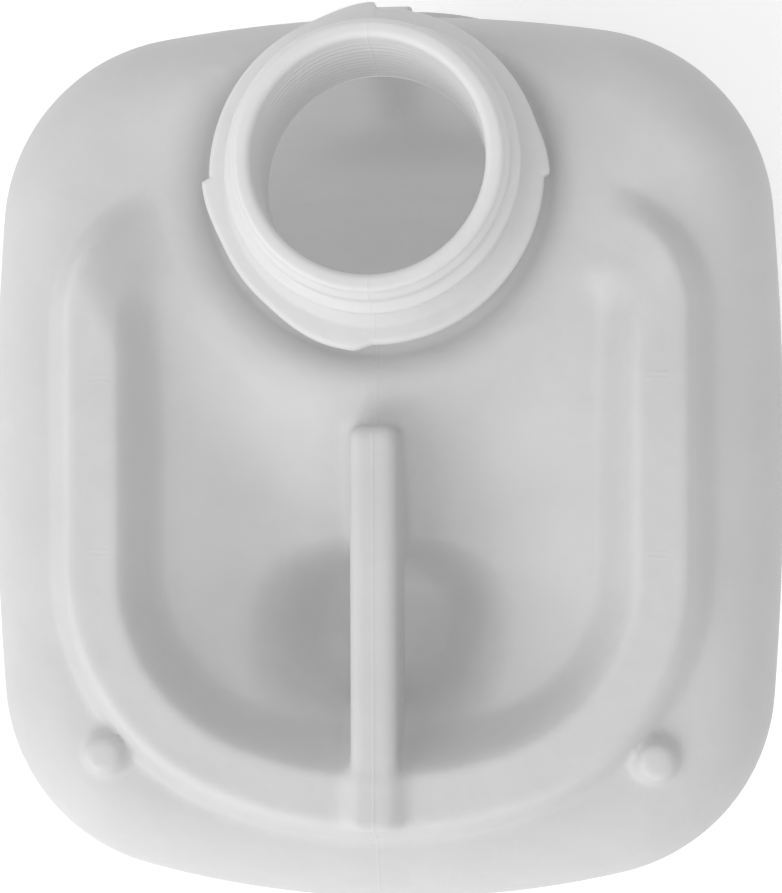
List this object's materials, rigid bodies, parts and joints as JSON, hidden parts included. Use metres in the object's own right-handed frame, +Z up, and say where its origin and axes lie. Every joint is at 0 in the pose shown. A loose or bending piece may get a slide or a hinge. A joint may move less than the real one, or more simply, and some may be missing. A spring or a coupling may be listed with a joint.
{
  "type": "canister with screw neck and tethered cap",
  "caption": "Blow-moulded plastic canister: open screw neck, hand recess with a handle bar, stacking ridge, and a screw cap that hangs on a moulded tether.",
  "frame": {"origin": "centre of the tank's outline on its flat base", "axes": "+Z up, towards the neck's rim; +Y towards the neck and the hanging cap; +X across, symmetric left to right"},
  "size_m": [0.185, 0.2385, 0.24],
  "materials": {
    "natural_hdpe": "satin, slightly translucent",
    "cap_plastic": "satin",
    "gasket_foam": "matt"
  },
  "bodies": {
    "tank": {"tank_body": "natural_hdpe", "tether_ring": "natural_hdpe"},
    "strap_upper": {"strap_upper_link": "natural_hdpe"},
    "strap_lower": {"strap_lower_link": "natural_hdpe"},
    "eyelet": {"strap_eyelet": "natural_hdpe"},
    "cap": {"cap_shell": "cap_plastic", "tamper_band": "cap_plastic", "cap_gasket": "gasket_foam"}
  },
  "joints": [
    {"name": "strap_root_bend", "type": "hinge", "parent": "tank", "child": "strap_upper", "pos_m": [0, 0.10555, 0.192], "axis": [1, 0, 0], "range_deg": [0, 167.2]},
    {"name": "strap_middle_bend", "type": "hinge", "parent": "strap_upper", "child": "strap_lower", "pos_m": [0, 0.10555, 0.151], "axis": [1, 0, 0], "range_deg": [0, 33.2]},
    {"name": "strap_end_bend", "type": "hinge", "parent": "strap_lower", "child": "eyelet", "pos_m": [0, 0.10555, 0.11], "axis": [1, 0, 0], "range_deg": [0, 69.6]},
    {"name": "cap_spin", "type": "hinge", "parent": "eyelet", "child": "cap", "pos_m": [0, 0.10555, 0.07], "axis": [0, 1, 0], "continuous": true}
  ]
}
